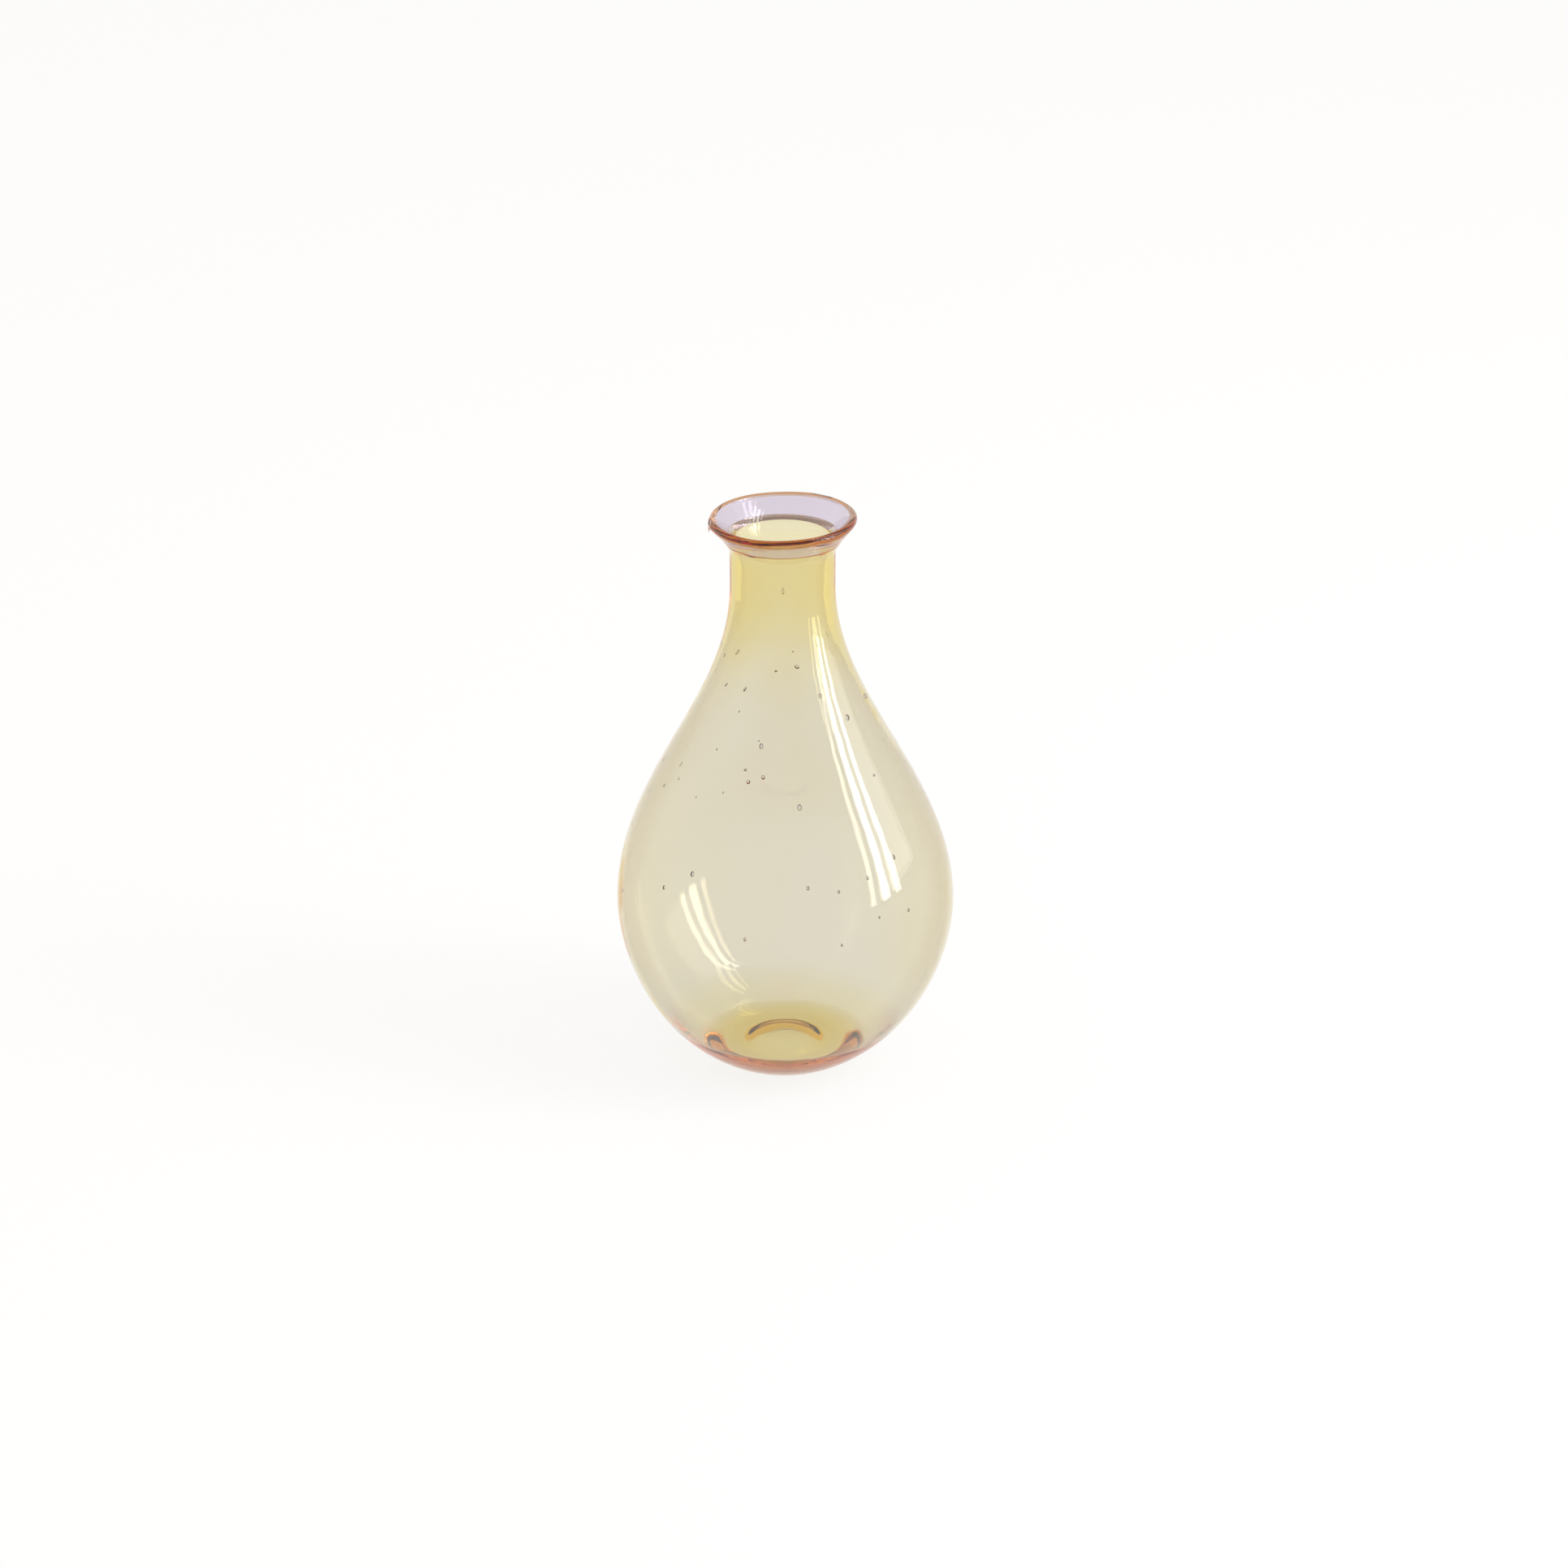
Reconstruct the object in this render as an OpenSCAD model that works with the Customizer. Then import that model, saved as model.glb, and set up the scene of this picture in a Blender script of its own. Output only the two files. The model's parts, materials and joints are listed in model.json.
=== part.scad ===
// Glass bud vase: a blown teardrop bulb with a narrow neck, a flared lip of a
// second colour welded onto the neck, and a thin glass bead laid round the lip.
// Millimetres. +Z is up, and the origin is the centre of the foot, on the table.
// The three pieces are welded glass to glass, so they meet face to face.

/* [Overall] */
// Height from the table to the top of the bead
total_h = 150; // [122:1:220]

/* [Bulb] */
// Outer radius where the bulb is widest
belly_r = 43.7; // [34:0.1:60]
// Height at which the bulb is widest
belly_z = 45; // [36:0.5:65]
// Fullness of the bulb below its widest point: 2 is a half ellipse, and less is more pointed
lower_full = 1.85; // [1.6:0.05:2.4]
// Thickness of the thin wall round the bulb's middle
belly_wall = 1; // [0.9:0.1:3]
// Height below which the wall thickens towards the base
heel_z = 12.5; // [10:0.5:30]
// Height above which the wall thickens towards the neck
thin_z = 98; // [75:1:110]

/* [Base] */
// Outer radius of the ring that the vase stands on
foot_r = 15; // [12.5:0.5:21]
// Height of the inside floor at its edge, above the table
floor_t = 5.2; // [4.4:0.1:9]
// Rise of the inside floor from its edge to its middle
floor_mound = 1.4; // [0.5:0.1:3]
// Thickness of the wall beside the floor
heel_wall = 3; // [2:0.1:7]
// Radius of the hollow that is pushed up under the base
kick_r = 10; // [7:0.5:13]
// Depth of the hollow under the base
kick_h = 2.6; // [0.8:0.1:3]

/* [Neck] */
// Outer radius of the straight neck
neck_r = 13.5; // [12:0.1:18]
// Inner radius of the straight neck
bore_r = 10.8; // [8:0.1:12]
// Length of the straight part of the neck
neck_len = 10; // [6:0.5:30]
// Height of the flare that the bulb's own glass makes above the straight neck
flare_foot = 3; // [1.5:0.5:8]

/* [Lip] */
// Height of the lip above the seam, up to the middle of the bead
lip_h = 4.55; // [3.5:0.05:10]
// Thickness of the lip at its edge, which is the bead's width too
lip_wall = 2.1; // [1.5:0.1:2.6]
// Sweep of the flare: 1 is a straight cone, and more turns out later
flare_curve = 1.35; // [1:0.05:2]

/* [Bead] */
// Outer radius of the bead, where the vase's mouth is widest
rim_r = 18.9; // [17:0.1:24]

/* [Hidden] */

// Sides of each turned shape, and steps along each curved stretch of an outline
$fn = 180;
curve_steps = 20;

// The bead is half round: its flat is the lip's edge, and its middle lies on that flat
bead_r = lip_wall / 2;
bead_mid_r = rim_r - bead_r;
bead_mid_z = total_h - bead_r;

// Heights, worked down from the top
seam_z = bead_mid_z - lip_h;
flare_z = seam_z - flare_foot;
neck_z = flare_z - neck_len;

// The neck's wall, and the middle of it
neck_wall = neck_r - bore_r;
neck_mid_r = (neck_r + bore_r) / 2;

// What is cut away reaches this far past the faces that are opened
cut = 1;

// Evenly spaced values along one curved stretch
function steps(from, to) = [for (i = [0:curve_steps]) from + (to - from) * i / curve_steps];

// Goes from 0 to 1 as half a cosine wave, while share goes from 0 to 1
function eased(share) = (1 - cos(180 * min(1, max(0, share)))) / 2;

// The outside below the widest point, as a full oval
function lower_r(z) =
    let (depth = pow(1 - pow(foot_r / belly_r, 2), 1 / lower_full) * (belly_z - z) / belly_z)
    belly_r * sqrt(1 - pow(depth, lower_full));

// The outside of the bulb at any height up to the flare
function outer_r(z) = z < belly_z
    ? lower_r(z)
    : belly_r + (neck_r - belly_r) * eased((z - belly_z) / (neck_z - belly_z));

// The wall is heavy beside the floor, thin round the belly and thick in the neck
function wall_at(z) = belly_wall
    + (heel_wall - belly_wall) * (1 - eased((z - floor_t) / (heel_z - floor_t)))
    + (neck_wall - belly_wall) * eased((z - thin_z) / (neck_z - thin_z));

function inner_r(z) = outer_r(z) - wall_at(z);

// The flare's middle line leans out by this angle from the vertical. Rise goes from 0, at the
// flare's foot, to 1, at the bead.
function lean(rise) = atan(flare_curve * pow(rise, flare_curve - 1)
    * (bead_mid_r - neck_mid_r) / (bead_mid_z - flare_z));

// A point of the flare: side is 1 on the outside, -1 on the inside and 0 on the middle line
function flare_point(rise, side) =
    let (half = side * (neck_wall + (lip_wall - neck_wall) * pow(rise, 2)) / 2)
    [neck_mid_r + (bead_mid_r - neck_mid_r) * pow(rise, flare_curve) + half * cos(lean(rise)),
     flare_z + (bead_mid_z - flare_z) * rise - half * sin(lean(rise))];

// Heights at which the bulb's two surfaces have points
outer_heights = concat(
    [for (z = steps(0, belly_z)) z],
    [for (z = steps(belly_z, neck_z)) if (z > belly_z) z]);
inner_heights = concat(
    [for (z = steps(floor_t, heel_z)) if (z > floor_t) z],
    [for (z = steps(heel_z, belly_z)) if (z > heel_z) z],
    [for (z = steps(belly_z, thin_z)) if (z > belly_z) z],
    [for (z = steps(thin_z, neck_z)) if (z > thin_z) z]);

// The inside floor, from its middle to its edge
floor_line = [for (share = steps(0, 1))
    [inner_r(floor_t) * share, floor_t + floor_mound * (1 - eased(share))]];

// The hollow under the base, from its middle to its edge
kick_line = [for (share = steps(0, 1)) [kick_r * share, kick_h * (1 - pow(share, 3))]];

function reversed(points) = [for (i = [len(points) - 1:-1:0]) points[i]];

// Section of all the glass but the bead, to the right of the axis
module glass_section() {
    polygon(concat(
        kick_line,
        [for (z = outer_heights) [outer_r(z), z]],
        [for (rise = steps(0, 1)) flare_point(rise, 1)],
        [for (rise = reversed(steps(0, 1))) flare_point(rise, -1)],
        [for (z = reversed(inner_heights)) [inner_r(z), z]],
        reversed(floor_line)));
}

// The straw-coloured bulb, blown in one piece from the foot to the seam
module bulb() {
    color([0.86, 0.79, 0.5, 0.6])
        rotate_extrude()
            intersection() {
                glass_section();
                square([belly_r + cut, seam_z]);
            }
}

// The lilac lip, welded to the neck at the seam and flared with it
module lip_collar() {
    color([0.82, 0.74, 0.84, 0.6])
        rotate_extrude()
            difference() {
                glass_section();
                square([belly_r + cut, seam_z]);
            }
}

// The amber bead, a thread of glass laid hot on the edge of the lip
module rim_bead() {
    color([0.6, 0.33, 0.13, 0.8])
        rotate_extrude()
            translate([bead_mid_r, bead_mid_z])
                rotate(-lean(1))
                    intersection() {
                        circle(r = bead_r);
                        translate([-bead_r - cut, 0])
                            square([2 * (bead_r + cut), bead_r + cut]);
                    }
}

bulb();
lip_collar();
rim_bead();
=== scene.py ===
"""A blown glass bud vase: a straw-yellow bulb, a lilac lip and an amber bead, welded hot."""

import json
import math

import bmesh
import bpy
import numpy as np
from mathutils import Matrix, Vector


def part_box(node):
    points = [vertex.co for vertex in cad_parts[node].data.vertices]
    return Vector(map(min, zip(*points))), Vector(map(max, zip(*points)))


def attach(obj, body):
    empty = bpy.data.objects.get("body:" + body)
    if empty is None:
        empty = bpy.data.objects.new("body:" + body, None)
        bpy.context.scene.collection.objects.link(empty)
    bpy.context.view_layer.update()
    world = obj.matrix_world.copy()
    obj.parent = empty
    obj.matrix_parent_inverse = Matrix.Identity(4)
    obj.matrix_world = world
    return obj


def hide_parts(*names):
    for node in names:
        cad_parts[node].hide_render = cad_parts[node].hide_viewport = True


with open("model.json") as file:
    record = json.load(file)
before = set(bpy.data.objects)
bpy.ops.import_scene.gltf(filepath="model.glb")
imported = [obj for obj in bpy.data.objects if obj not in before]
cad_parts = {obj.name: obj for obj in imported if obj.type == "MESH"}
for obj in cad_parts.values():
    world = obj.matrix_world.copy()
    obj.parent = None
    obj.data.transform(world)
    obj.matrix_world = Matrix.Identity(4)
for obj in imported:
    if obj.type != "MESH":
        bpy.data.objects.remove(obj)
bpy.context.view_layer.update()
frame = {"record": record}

MM = 0.001  # the frame is in metres, and the sizes below are in millimetres


# ---------------------------------------------------------------------------
# Camera: it stands 1.4 m away and looks down on the vase at 23.5 degrees, as a
# person does who sits at the table.
# ---------------------------------------------------------------------------
camera_distance = 1400 * MM
camera_elevation = math.radians(23.5)
aim_z = 76.3 * MM

camera = bpy.data.objects.new("camera", bpy.data.cameras.new("camera"))
bpy.context.scene.collection.objects.link(camera)
bpy.context.scene.camera = camera
camera.data.lens = 124.8
camera.data.sensor_width = 36.0
camera.data.clip_start = 0.01
camera.data.clip_end = 100.0
camera.location = (
    0.0,
    -camera_distance * math.cos(camera_elevation),
    aim_z + camera_distance * math.sin(camera_elevation),
)
camera.rotation_euler = (math.pi / 2 - camera_elevation, 0.0, 0.0)


# ---------------------------------------------------------------------------
# Bulb: the straw-yellow body, blown in one gather from the foot to the seam. The
# glass is thin round the belly, thick in the neck and thickest in the base, where
# a tool pushed a hollow up into it. Small bubbles are left in its wall.
# ---------------------------------------------------------------------------
around = 192  # sides of every turned mesh

bulb_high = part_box("bulb")[1]
bead_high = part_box("rim_bead")[1]
bore = next(mount["dims"] for mount in frame["record"]["mounts"] if mount["name"] == "neck_bore")

# The body
belly_r = bulb_high.x / MM
belly_z = 45.0
belly_wall = 1.0
lower_full = 1.85  # 2 would be a half ellipse below the belly
thin_z = 98.0  # the wall thickens above this

# The base, with the hollow under it
foot_r = 15.0
floor_t = 5.2
floor_mound = 1.4
heel_wall = 3.0
heel_z = 12.5  # the wall thickens below this
kick_r = 10.0
kick_h = 2.6
kick_power = 3.0

# The neck, and the flare that runs on through the seam into the lip
neck_r = 13.5
bore_r = bore["r_mm"]
neck_wall = neck_r - bore_r
neck_mid_r = (neck_r + bore_r) / 2
seam_z = bulb_high.z / MM
flare_foot = 3.0
flare_z = seam_z - flare_foot
neck_z = flare_z - bore["length_mm"]
flare_curve = 1.35  # 1 would be a straight cone
lip_wall = 2.1
bead_r = lip_wall / 2
bead_mid_r = bead_high.x / MM - bead_r
bead_mid_z = bead_high.z / MM - bead_r
seam_gap = 0.03  # between bulb and lip
edge_round = 0.15  # the melted corners beside the seam


def eased(share):
    """Goes from 0 to 1 as half a cosine wave, while share goes from 0 to 1."""
    return (1 - math.cos(math.pi * min(1.0, max(0.0, share)))) / 2


def outer_radius(z):
    """The outside of the bulb: a full oval below the belly, half a cosine wave above it, then the neck."""
    if z > belly_z:
        return belly_r + (neck_r - belly_r) * eased((z - belly_z) / (neck_z - belly_z))
    share = (1 - (foot_r / belly_r) ** 2) ** (1 / lower_full)
    depth = share * (belly_z - z) / belly_z
    return belly_r * math.sqrt(1 - depth**lower_full)


def wall_at(z):
    """The wall's thickness: heavy beside the floor, thin round the belly, and thick again in the neck."""
    heel = (heel_wall - belly_wall) * (1 - eased((z - floor_t) / (heel_z - floor_t)))
    return belly_wall + heel + (neck_wall - belly_wall) * eased((z - thin_z) / (neck_z - thin_z))


def flare_lean(rise):
    """How far the flare's middle line leans out of the upright, in radians."""
    slope = flare_curve * (bead_mid_r - neck_mid_r) / (bead_mid_z - flare_z)
    return math.atan(slope * rise ** (flare_curve - 1))


def flare_point(rise, inside):
    """A point on the flare, as (radius, height): rise goes from 0 at its foot to 1 at the bead.
    The outside (0) and the inside (1) lie half a wall to either side of its middle line."""
    half_wall = (neck_wall + (lip_wall - neck_wall) * rise**2) * (0.5 - inside)
    radius = neck_mid_r + (bead_mid_r - neck_mid_r) * rise**flare_curve
    z = flare_z + (bead_mid_z - flare_z) * rise
    return radius + half_wall * math.cos(flare_lean(rise)), z - half_wall * math.sin(flare_lean(rise))


def flare_line(inside, low_z, high_z):
    """The flare's surface between two heights."""
    line = np.array([flare_point(rise, inside) for rise in np.linspace(0, 1, 201)])
    ends = [(np.interp(z, line[:, 1], line[:, 0]), z) for z in (low_z, min(high_z, line[-1, 1]))]
    within = line[(line[:, 1] > low_z) & (line[:, 1] < ends[1][1])]
    return [ends[0], *map(tuple, within), ends[1]]


def wall_line(inside, low_z, top_z):
    """The bulb's outside (0) or inside (1) between two heights, as (radius, height) points in mm."""
    step = 0.25
    line = [(outer_radius(z) - inside * wall_at(z), z) for z in np.arange(low_z, flare_z, step)]
    return line + flare_line(inside, flare_z, top_z)


def resampled(line, step):
    """The same line with points at one even step."""
    line = np.array(line, float)
    length = np.concatenate([[0], np.cumsum(np.hypot(*np.diff(line, axis=0).T))])
    count = max(2, int(round(length[-1] / step)) + 1)
    at = np.linspace(0, length[-1], count)
    return np.stack([np.interp(at, length, line[:, 0]), np.interp(at, length, line[:, 1])], 1)


def softened(line, spread, step=0.2):
    """The line with its corners melted round over about spread mm, and its two ends kept."""
    line = resampled(line, step)
    reach = int(4 * spread / step)
    weight = np.exp(-0.5 * (np.arange(-reach, reach + 1) * step / spread) ** 2)
    weight /= weight.sum()
    head = 2 * line[0] - line[reach:0:-1]
    tail = 2 * line[-1] - line[-2 : -reach - 2 : -1]
    long = np.concatenate([head, line, tail])
    return np.stack([np.convolve(long[:, k], weight, "valid") for k in (0, 1)], 1)


def thinned(line, most_turn=2.5, most_step=2.0):
    """The line with points only where it has turned or run far enough to need one."""
    kept = [0]
    heading = np.arctan2(*np.diff(line, axis=0).T[::-1])
    for i in range(1, len(line) - 1):
        turned = abs((heading[i] - heading[kept[-1]] + math.pi) % (2 * math.pi) - math.pi)
        run = np.hypot(*(line[i] - line[kept[-1]]))
        if math.degrees(turned) > most_turn or run > most_step:
            kept.append(i)
    return line[kept + [len(line) - 1]]


def rounded_corner(before, corner, after, radius, steps=8):
    """Points of a small curve that cuts a corner, with one more point beside each of its ends."""
    before, corner, after = (np.array(p, float) for p in (before, corner, after))
    inward = (before - corner) / np.hypot(*(before - corner))
    onward = (after - corner) / np.hypot(*(after - corner))
    ts = np.linspace(0, 1, steps + 1)[:, None]
    curve = radius * ((1 - ts) ** 2 * inward + ts**2 * onward) + corner
    beside = 1.15 * radius
    return np.concatenate([[corner + beside * inward], curve, [corner + beside * onward]])


def ripple(angle, z, waves):
    """A sum of long waves round and up the glass. Each wave is its height in mm, its number of
    turns, the mm that it climbs in each radian, and its phase."""
    return sum(h * np.cos(turns * angle + z / climb + phase) for h, turns, climb, phase in waves)


# What the blowing left: the belly leans a little to one side and the neck to the other, the plan
# is slightly oval, the inside of the wall ripples by less than a tenth of a mm, and the mouth is
# a little tilted. A wave that has no climb runs only round the glass.
no_climb = math.inf
oval_waves = [(0.16, 2, 70.0, 1.1), (0.08, 3, 45.0, 0.4)]
wall_waves = [(0.05, 3, 14.0, 0.3), (0.04, 5, -22.0, 1.9), (0.03, 8, 9.0, 4.2), (0.02, 13, -17.0, 2.6)]
neck_waves = [(0.02, 0, 1.114, 0.5), (0.012, 1, -0.7, 2.0)]
lip_waves = [(0.40, 1, no_climb, 0.2), (0.10, 2, no_climb, 0.7), (0.05, 5, no_climb, 1.0)]
belly_lean, belly_lean_spread = 0.33, 35.0
neck_lean = 0.33
still_foot, still_middle = 20.0, 5.0  # the waves fade out over these, towards the foot and the axis
neck_waves_z, neck_waves_rise, neck_waves_end = 90.0, 15.0, 4.0


def as_blown(points, wavy):
    """Moves (x, y, z) points in mm as the blowing did. wavy is 1 on the inside of a wall, and 0 outside."""
    x, y, z = points.T
    radius, angle = np.hypot(x, y), np.arctan2(y, x)
    fade = np.clip(z / still_foot, 0, 1) * np.clip(radius / still_middle, 0, 1)
    radius = radius + fade * ripple(angle, z, oval_waves) * radius / belly_r
    radius = radius + fade * wavy * ripple(angle, z, wall_waves)
    below_seam = np.clip((seam_z - 1 - z) / neck_waves_end, 0, 1)
    in_neck = np.clip((z - neck_waves_z) / neck_waves_rise, 0, 1) * below_seam
    radius = radius + in_neck * wavy * ripple(angle, z, neck_waves)
    lean = belly_lean * np.exp(-(((z - belly_z) / belly_lean_spread) ** 2))
    lean = lean - neck_lean * np.clip(z / neck_z, 0, 1) ** 3
    near_lip = np.clip((z - flare_z) / (bead_mid_z - flare_z), 0, 1) ** 2
    up = z + near_lip * ripple(angle, 0 * z, lip_waves)
    return np.stack([radius * np.cos(angle) + lean, radius * np.sin(angle), up], 1)


def turned_mesh(name, outline, wavy, loop=False, welds=None):
    """A mesh turned from an outline in mm. loop closes the outline on itself. welds names the
    stretches of it that lie on the next glass, and how far back each is fused to it, as the sine
    of an angle: 1 is all round. Fused faces take the piece's second material."""
    welds = welds or {}
    angles = np.arange(around) * 2 * math.pi / around
    points, rings, waves = [], [], []
    for (radius, z), wave in zip(outline, wavy):
        if radius < 1e-6:
            rings.append([len(points)] * around)
            points.append((0.0, 0.0, z))
            waves.append(wave)
            continue
        rings.append(list(range(len(points), len(points) + around)))
        points += [(radius * math.cos(a), radius * math.sin(a), z) for a in angles]
        waves += [wave] * around
    moved = as_blown(np.array(points, float), np.array(waves, float)) * MM
    faces, smooth, fused = [], [], []
    for i in range(len(rings) if loop else len(rings) - 1):
        low, high = rings[i], rings[(i + 1) % len(rings)]
        for j in range(around):
            k = (j + 1) % around
            corners = list(dict.fromkeys((low[j], low[k], high[k], high[j])))
            faces.append(corners)
            smooth.append(i not in welds)
            fused.append(int(i in welds and math.sin(angles[j]) <= welds[i]))
    mesh = bpy.data.meshes.new(name)
    mesh.from_pydata([tuple(p) for p in moved], [], faces)
    mesh.polygons.foreach_set("use_smooth", smooth)
    mesh.polygons.foreach_set("material_index", fused)
    mesh.update()
    return mesh


def linear(hex_colour):
    """An sRGB hex colour as the linear RGB that Blender works in."""
    parts = [int(hex_colour[i : i + 2], 16) / 255 for i in (1, 3, 5)]
    return tuple(c / 12.92 if c <= 0.04045 else ((c + 0.055) / 1.055) ** 2.4 for c in parts)


def add_node(tree, kind, settings=None, **inputs):
    """Adds a node. settings are its own options. inputs are values or sockets to link, each by its
    name, or by an underscore and its number where names repeat."""
    node = tree.nodes.new(kind)
    for key, value in (settings or {}).items():
        setattr(node, key, value)
    for key, value in inputs.items():
        socket = node.inputs[int(key[1:])] if key[0] == "_" else node.inputs[key.replace("_", " ")]
        if isinstance(value, bpy.types.NodeSocket):
            tree.links.new(value, socket)
        else:
            socket.default_value = value
    return node


def blown_glass(name, tint, edge_tint_and_shade, stain=None, stain_mm=1.0):
    """Soda-lime glass, blown and fire polished. tint is what one wall lets through when it is seen
    square on. The darker colour given after it takes over where the surface is seen at a slant, partly for
    the longer way through the glass and partly as painted shade that darkens the outlines. stain is the
    colour that stain_mm of solid glass lets through."""
    material = bpy.data.materials.new(name)
    material.use_nodes = True
    tree = material.node_tree
    tree.nodes.clear()
    place = add_node(tree, "ShaderNodeTexCoord").outputs["Object"]
    # The blowpipe and the marver leave slow waves 8 mm long, and fine upright cords 1.2 mm wide.
    wave_mm, wave_depth_mm = 8.0, 0.05
    cord_mm, cord_depth_mm, cord_squeeze = 1.2, 0.002, 0.12
    waves = add_node(tree, "ShaderNodeTexNoise", Vector=place, Scale=1 / (wave_mm * MM), Detail=1.0)
    drawn = add_node(tree, "ShaderNodeMapping", Vector=place, Scale=(1.0, 1.0, cord_squeeze)).outputs[0]
    cords = add_node(tree, "ShaderNodeTexNoise", Vector=drawn, Scale=1 / (cord_mm * MM), Detail=2.0)
    slow = add_node(
        tree,
        "ShaderNodeBump",
        Height=waves.outputs[0],
        Distance=wave_depth_mm * MM,
        Strength=1.0,
    )
    fine = add_node(
        tree,
        "ShaderNodeBump",
        Height=cords.outputs[0],
        Distance=cord_depth_mm * MM,
        Strength=1.0,
        Normal=slow.outputs[0],
    )
    # Painted shade: where the surface is seen at a slant, the colour goes over to the darker slanting colour,
    # partly for the longer way through the glass and partly to darken the outlines as the lighting would.
    slant = add_node(tree, "ShaderNodeLayerWeight", Blend=0.5).outputs["Facing"]
    steep = add_node(tree, "ShaderNodeMapRange", Value=slant, From_Min=0.45, From_Max=1.0).outputs[0]
    colour = add_node(
        tree,
        "ShaderNodeMix",
        {"data_type": "RGBA"},
        _0=steep,
        _6=(*linear(tint), 1.0),
        _7=(*linear(edge_tint_and_shade), 1.0),
    )
    surface = add_node(
        tree,
        "ShaderNodeBsdfPrincipled",
        Base_Color=colour.outputs[2],
        Roughness=0.0,
        IOR=1.52,
        Transmission_Weight=1.0,
        Normal=fine.outputs[0],
    )
    result = add_node(tree, "ShaderNodeOutputMaterial", Surface=surface.outputs[0])
    if stain is None:
        return material
    # The volume absorbs, per metre, its density times one minus its colour.
    loss = [-math.log(part) / (stain_mm * MM) for part in linear(stain)]
    density = max(loss)
    inside = add_node(
        tree,
        "ShaderNodeVolumeAbsorption",
        Color=(*(1 - part / density for part in loss), 1.0),
        Density=density,
    )
    tree.links.new(inside.outputs[0], result.inputs["Volume"])
    return material


def finished_piece(name, mesh, materials, node):
    """Makes the object of a finished mesh, puts it under the root body, and hides the part of model.glb that
    it stands for.
    """
    piece = bpy.data.objects.new(name, mesh)
    bpy.context.scene.collection.objects.link(piece)
    for material in materials:
        mesh.materials.append(material)
    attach(piece, "root")
    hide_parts(node)
    return piece


# Straw glass: the thin belly is nearly clear, and the thick neck and base go deep yellow, because
# the glass is coloured all through. Its edges are darkened with painted shade, and its surface is bright and
# wet.
straw_glass = blown_glass(
    "straw soda-lime glass, blown",
    tint="#efeef2",
    edge_tint_and_shade="#c4b9ae",
    stain="#fcec9b",
    stain_mm=6.0,
)

# The underside and the outside, from the top of the hollow to the seam.
outer_melt, inner_melt = 0.7, 1.2  # corners melt round over these
hollow_line = [(r, kick_h * (1 - (r / kick_r) ** kick_power)) for r in np.linspace(0, kick_r, 60)]
bulb_top = seam_z - seam_gap / 2
outside = softened(hollow_line + wall_line(0, 0.0, bulb_top), outer_melt)
# The floor rises in a low mound over the hollow, and turns up into the wall at its edge.
floor_r = outer_radius(floor_t) - heel_wall
floor_line = [
    (r, floor_t + floor_mound * (1 - eased(r / floor_r)))
    for r in np.linspace(0, floor_r, 40)
]
inside = softened(floor_line + wall_line(1, floor_t, bulb_top), inner_melt)
outside[0][0] = inside[0][0] = 0.0

# The top edge is flat, between two small melted corners.
outer_corner, inner_corner = outside[-1], inside[-1]
outside = thinned(outside[:-2])
inside = thinned(inside[:-2], most_step=0.7)[::-1]
top_edge = np.concatenate([
    rounded_corner(outside[-1], outer_corner, inner_corner, edge_round),
    rounded_corner(outer_corner, inner_corner, inside[0], edge_round),
])
bulb_outline = np.concatenate([outside, top_edge, inside])
bulb_wavy = [0.0] * (len(outside) + len(top_edge)) + [1.0] * len(inside)
bulb_mesh = turned_mesh("bulb_glass", bulb_outline, bulb_wavy)

# Seeds: gas bubbles that stayed in the gather and were drawn flat and long with the wall.
# Each is a closed hollow, so its faces point into it, away from the glass.
seed_low_z, seed_high_z = 48.0, 127.0
seed_sizes = {
    "Seeds per square metre": 2200.0,
    "Shortest half": 0.35 * MM,
    "Longest half": 0.85 * MM,
    "Width share": 0.72,
    "Half thickness": 0.30 * MM,
}


def seed_tree():
    """Geometry Nodes that strew flattened bubbles over the middle of the wall."""
    tree = bpy.data.node_groups.new("seeds in the wall", "GeometryNodeTree")
    tree.interface.new_socket("Wall", in_out="INPUT", socket_type="NodeSocketGeometry")
    for name in seed_sizes:
        tree.interface.new_socket(name, in_out="INPUT", socket_type="NodeSocketFloat")
    tree.interface.new_socket("Scatter", in_out="INPUT", socket_type="NodeSocketInt")
    tree.interface.new_socket("Glass", in_out="INPUT", socket_type="NodeSocketMaterial")
    tree.interface.new_socket("Seeds", in_out="OUTPUT", socket_type="NodeSocketGeometry")
    given = add_node(tree, "NodeGroupInput").outputs
    spots = add_node(
        tree,
        "GeometryNodeDistributePointsOnFaces",
        Mesh=given["Wall"],
        Density=given["Seeds per square metre"],
        Seed=given["Scatter"],
    ).outputs
    half = add_node(
        tree,
        "FunctionNodeRandomValue",
        _2=given["Shortest half"],
        _3=given["Longest half"],
        Seed=given["Scatter"],
    ).outputs[1]
    product = {"operation": "MULTIPLY"}
    across = add_node(tree, "ShaderNodeMath", product, _0=half, _1=given["Width share"]).outputs[0]
    size = add_node(tree, "ShaderNodeCombineXYZ", X=across, Y=half, Z=given["Half thickness"]).outputs[0]
    ball = add_node(tree, "GeometryNodeMeshUVSphere", Segments=12, Rings=8, Radius=1.0).outputs["Mesh"]
    smooth = add_node(tree, "GeometryNodeSetShadeSmooth", Geometry=ball).outputs[0]
    hollow = add_node(tree, "GeometryNodeFlipFaces", Mesh=smooth).outputs[0]
    placed = add_node(
        tree,
        "GeometryNodeInstanceOnPoints",
        Points=spots["Points"],
        Instance=hollow,
        Rotation=spots["Rotation"],
        Scale=size,
    ).outputs[0]
    real = add_node(tree, "GeometryNodeRealizeInstances", Geometry=placed).outputs[0]
    glass = add_node(tree, "GeometryNodeSetMaterial", Geometry=real, Material=given["Glass"]).outputs[0]
    add_node(tree, "NodeGroupOutput", Seeds=glass)
    return tree


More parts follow.
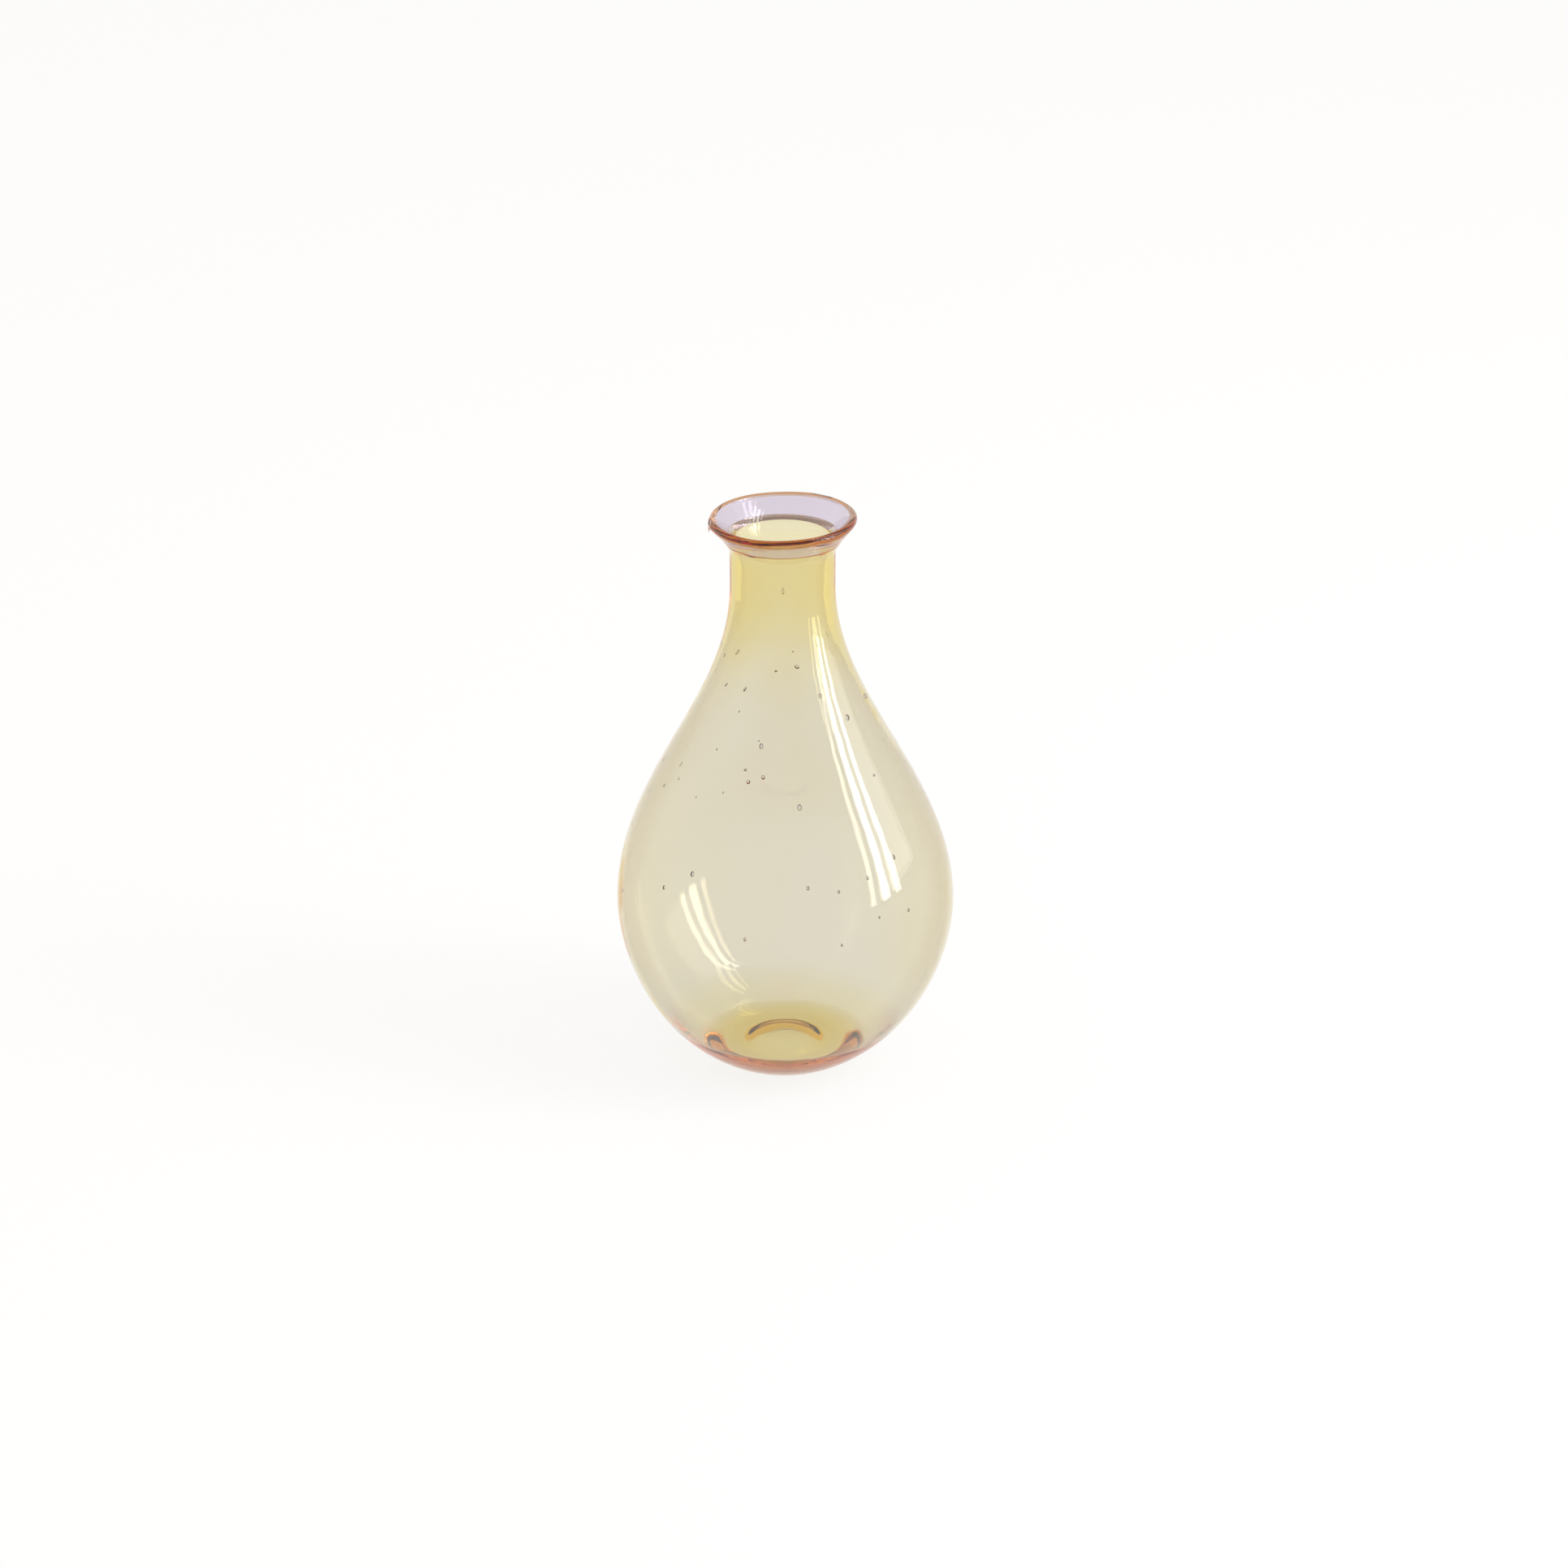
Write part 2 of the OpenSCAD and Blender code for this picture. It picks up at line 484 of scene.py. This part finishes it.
def made_by_nodes(name, start, tree, values):
    """The plain mesh that a Geometry Nodes tree makes of a starting mesh, which is then removed.
    values gives the tree's inputs by name."""
    holder = bpy.data.objects.new(name, start)
    bpy.context.scene.collection.objects.link(holder)
    modifier = holder.modifiers.new(name, "NODES")
    modifier.node_group = tree
    for item in tree.interface.items_tree:
        if item.in_out == "INPUT" and item.name in values:
            modifier[item.identifier] = values[item.name]
    depsgraph = bpy.context.evaluated_depsgraph_get()
    made = bpy.data.meshes.new_from_object(holder.evaluated_get(depsgraph), depsgraph=depsgraph)
    holder.modifiers.remove(modifier)
    bpy.data.objects.remove(holder)
    bpy.data.meshes.remove(start)
    return made


seed_heights = np.linspace(seed_low_z, seed_high_z, 100)
wall_middle = resampled([(outer_radius(z) - wall_at(z) / 2, z) for z in seed_heights], 2.0)
wall_middle_mesh = turned_mesh("wall_middle", wall_middle, [0.5] * len(wall_middle))
seed_values = {**seed_sizes, "Scatter": 7, "Glass": straw_glass}
seeds = made_by_nodes("seeds", wall_middle_mesh, seed_tree(), seed_values)
with_seeds = bmesh.new()
with_seeds.from_mesh(bulb_mesh)
with_seeds.from_mesh(seeds)
with_seeds.to_mesh(bulb_mesh)
with_seeds.free()
bpy.data.meshes.remove(seeds)
bulb_glass = finished_piece("bulb_glass", bulb_mesh, [straw_glass], "bulb")


# ---------------------------------------------------------------------------
# Lip collar: a short ring of lilac glass, welded hot on the neck and flared with it.
# At the back of the seam a film of air is left, which mirrors the light as a grey
# band inside the mouth. At its front and sides the collar's face is fused.
# ---------------------------------------------------------------------------
def fused_face(glass):
    """A face that neither bends nor reflects light, as where one glass is fused to another. Only the
    collar and the bead have it: on the bulb a second material would spoil its colour by depth, so
    light is still bent once at the seam, on the bulb's side."""
    material = bpy.data.materials.new(glass.name + ", fused face")
    material.use_nodes = True
    surface = material.node_tree.nodes["Principled BSDF"]
    surface.inputs["Base Color"].default_value = (1.0, 1.0, 1.0, 1.0)
    surface.inputs["Roughness"].default_value = 0.0
    surface.inputs["IOR"].default_value = 1.0
    surface.inputs["Transmission Weight"].default_value = 1.0
    return material


# Lilac glass: a thin cool tint, made greyer where the flare is seen at a slant, partly for the longer way
# through the glass and partly as painted shade.
lilac_glass = blown_glass("lilac soda-lime glass, blown", tint="#ded4e2", edge_tint_and_shade="#b3a3b0")

# The collar's section goes up its outside, over the flat edge under the bead, and down its inside.
collar_foot = seam_z + seam_gap / 2
keep_one_in = 6  # of the flare's fine points
out_line = np.array(flare_line(0, collar_foot, math.inf))
in_line = np.array(flare_line(1, collar_foot, math.inf))
foot_out, foot_in = out_line[0], in_line[0]
collar_outside = out_line[::keep_one_in][1:-1]
collar_inside = in_line[::-keep_one_in][1:-1]
edge_out, edge_in = np.array(flare_point(1, 0)), np.array(flare_point(1, 1))
outer_foot = rounded_corner(foot_in, foot_out, collar_outside[0], edge_round)
inner_foot = rounded_corner(collar_inside[-1], foot_in, foot_out, edge_round)
collar_outline = np.concatenate([outer_foot, collar_outside, [edge_out, edge_in], collar_inside, inner_foot])

under_bead = len(outer_foot) + len(collar_outside)
at_seam = len(collar_outline) - 1
all_round = 1.0
seam_fused_back = 0.35  # the seam is fused up to where the sine of the angle round it is this
collar_mesh = turned_mesh(
    "lip_collar_glass",
    collar_outline,
    [0.0] * len(collar_outline),
    loop=True,
    welds={under_bead: all_round, at_seam: seam_fused_back},
)
lip_collar_glass = finished_piece(
    "lip_collar_glass", collar_mesh, [lilac_glass, fused_face(lilac_glass)], "lip_collar"
)


# ---------------------------------------------------------------------------
# Rim bead: a half-round thread of amber glass, laid hot round the edge of the lip
# and fused to it along its flat side. A small tail hangs where it was pulled off.
# ---------------------------------------------------------------------------
# Amber glass: a warm tint, turned deep brown along the bead's rounded edges by painted shade, which stands
# for light trapped inside the bead.
amber_glass = blown_glass("amber soda-lime glass, thread", tint="#d0a078", edge_tint_and_shade="#7a4828")

# The bead's half circle has its points closer together at its two ends.
weld_gap = 0.005  # keeps the two fused faces from lying in each other
outward = math.atan2(*(edge_out - edge_in)[::-1])
bead_mid = (edge_out + edge_in) / 2 + weld_gap * np.array([-math.sin(outward), math.cos(outward)])
bead_turns = outward + math.pi * (1 - np.cos(np.linspace(0, math.pi, 33))) / 2
bead_outline = bead_mid + bead_r * np.stack([np.cos(bead_turns), np.sin(bead_turns)], 1)
flat_side = len(bead_outline) - 1
bead_mesh = turned_mesh(
    "rim_bead_glass", bead_outline, [0.0] * len(bead_outline), loop=True, welds={flat_side: all_round}
)

# The tail is drawn down from the bead's outer edge, on the left. The lumps are those of a thread
# that was laid by hand.
tail_at, tail_half, tail_drop = math.radians(186), 1.0, 1.7
thread_lumps = [(0.10, 3, no_climb, 0.9), (0.07, 7, no_climb, 2.1), (0.05, 12, no_climb, 4.0)]
outer_part = 0.3  # the part of the bead's radius that they move
spots = np.empty(len(bead_mesh.vertices) * 3)
bead_mesh.vertices.foreach_get("co", spots)
spots = spots.reshape(-1, 3) / MM
angle = np.arctan2(spots[:, 1], spots[:, 0])
radius = np.hypot(spots[:, 0], spots[:, 1])
along = ((angle - tail_at + math.pi) % (2 * math.pi) - math.pi) * bead_mid_r
outer_share = np.clip((radius - bead_mid_r - (1 - outer_part) * bead_r) / (outer_part * bead_r), 0, 1)
spots[:, 2] -= tail_drop * np.exp(-((along / tail_half) ** 2)) * outer_share
swell = 1 + outer_share * ripple(angle, 0 * angle, thread_lumps) / bead_mid_r
spots[:, 0] *= swell
spots[:, 1] *= swell
bead_mesh.vertices.foreach_set("co", (spots * MM).ravel())
bead_mesh.update()

rim_bead_glass = finished_piece(
    "rim_bead_glass", bead_mesh, [amber_glass, fused_face(amber_glass)], "rim_bead"
)


# ---------------------------------------------------------------------------
# Studio: a plain pale floor that glows a little, as a sheet of opal acrylic over
# lamps does, under an even white sky. Soft panels stand to the right of the camera.
# ---------------------------------------------------------------------------
half = 10.0
floor_z = -0.05 * MM  # just below the foot, so that the two faces don't lie in each other
floor_mesh = bpy.data.meshes.new("floor")
floor_mesh.from_pydata(
    [(-half, -half, floor_z), (half, -half, floor_z), (half, half, floor_z), (-half, half, floor_z)],
    [],
    [(0, 1, 2, 3)],
)
floor = bpy.data.objects.new("floor", floor_mesh)
bpy.context.scene.collection.objects.link(floor)

# Opal acrylic: flat and without gloss, and bright all over, so that the vase's shadow stays faint.
opal = bpy.data.materials.new("opal acrylic sheet, matt")
opal.use_nodes = True
opal_surface = opal.node_tree.nodes["Principled BSDF"]
opal_surface.inputs["Base Color"].default_value = (*linear("#7c7c7c"), 1.0)
opal_surface.inputs["Roughness"].default_value = 1.0
opal_surface.inputs["Specular IOR Level"].default_value = 0.0
opal_surface.inputs["Emission Color"].default_value = (*linear("#fffefd"), 1.0)
opal_surface.inputs["Emission Strength"].default_value = 0.85
floor_mesh.materials.append(opal)

# The sky is brightest at the horizon, and dims towards the top.
horizon, zenith, dimmest_from = 1.0, 0.4, 0.9
world = bpy.data.worlds.new("studio")
world.use_nodes = True
bpy.context.scene.world = world
sky = world.node_tree
towards = add_node(sky, "ShaderNodeTexCoord").outputs["Generated"]
upness = add_node(sky, "ShaderNodeSeparateXYZ", Vector=towards).outputs["Z"]
glow = add_node(sky, "ShaderNodeMapRange", Value=upness, From_Max=dimmest_from, To_Min=horizon, To_Max=zenith)
sky.links.new(glow.outputs[0], sky.nodes["Background"].inputs["Strength"])
sky.nodes["Background"].inputs["Color"].default_value = (*linear("#fffefc"), 1.0)


def soft_panel(name, azimuth, width, bottom, top, strength, distance, colour):
    """A flat upright lamp that faces the vase. Azimuth is in degrees to the right of the camera, and
    the other sizes are in metres."""
    lamp = bpy.data.lights.new(name, "AREA")
    lamp.shape = "RECTANGLE"
    lamp.size = width
    lamp.size_y = top - bottom
    lamp.energy = 4 * strength * lamp.size * lamp.size_y
    lamp.color = linear(colour)
    panel = bpy.data.objects.new(name, lamp)
    bpy.context.scene.collection.objects.link(panel)
    turn = math.radians(azimuth)
    panel.location = (distance * math.sin(turn), -distance * math.cos(turn), (bottom + top) / 2)
    panel.rotation_euler = (math.pi / 2, 0.0, turn)
    panel.visible_camera = False


# Three narrow panels make the striped highlights, and a wide dim one the soft sheen beside them.
soft_panel("panel_edge", 61.5, 0.06, 0.05, 1.6, strength=3.5, distance=0.9, colour="#fff9ed")
soft_panel("panel_left", 71.5, 0.10, 0.05, 1.6, strength=6.0, distance=0.9, colour="#f7fcff")
soft_panel("panel_right", 82.0, 0.08, 0.05, 1.6, strength=5.0, distance=0.9, colour="#f7fcff")
soft_panel("panel_wall", 86.0, 0.75, 0.10, 1.4, strength=0.9, distance=1.1, colour="#fffefa")

# Light crosses many glass surfaces before it leaves the vase.
scene = bpy.context.scene
scene.view_settings.view_transform = "Standard"
scene.cycles.max_bounces = 64
scene.cycles.transmission_bounces = 64
scene.cycles.glossy_bounces = 64
scene.cycles.transparent_max_bounces = 32
